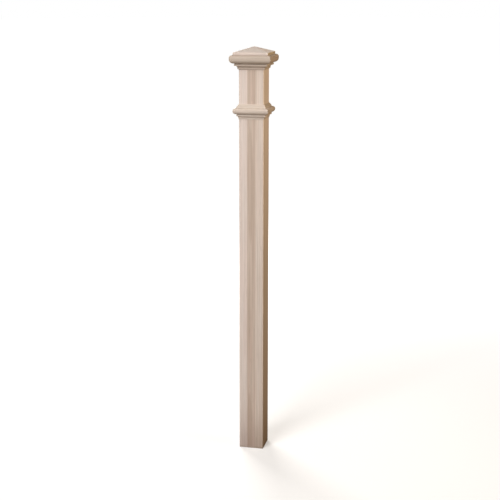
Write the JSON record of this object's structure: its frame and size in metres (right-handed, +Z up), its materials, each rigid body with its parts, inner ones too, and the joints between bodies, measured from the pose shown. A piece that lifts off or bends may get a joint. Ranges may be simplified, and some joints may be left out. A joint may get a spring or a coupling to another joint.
{
  "type": "newel post",
  "caption": "Square glued-up wooden newel post with a mitred collar moulding, a mitred cap moulding and a low peaked top, for the start or turn of a stair rail.",
  "frame": {"origin": "centre of the foot, on the floor", "axes": "+Z up along the post's axis, -Y out of the front face, on which the joints between the staves show, +X to the right of that face"},
  "size_m": [0.1518, 0.1518, 1.524],
  "materials": {
    "light_wood": "sanded, unfinished, pale stave",
    "dark_wood": "sanded, unfinished, darker pinkish stave",
    "moulding_wood": "sanded, unfinished, moulded strip",
    "block_wood": "sanded, unfinished block"
  },
  "bodies": {
    "root": {"left_stave": "light_wood", "middle_stave": "dark_wood", "right_stave": "light_wood", "collar_front": "moulding_wood", "collar_right": "moulding_wood", "collar_back": "moulding_wood", "collar_left": "moulding_wood", "cap_front": "moulding_wood", "cap_right": "moulding_wood", "cap_back": "moulding_wood", "cap_left": "moulding_wood", "peak_block": "block_wood"}
  },
  "joints": []
}
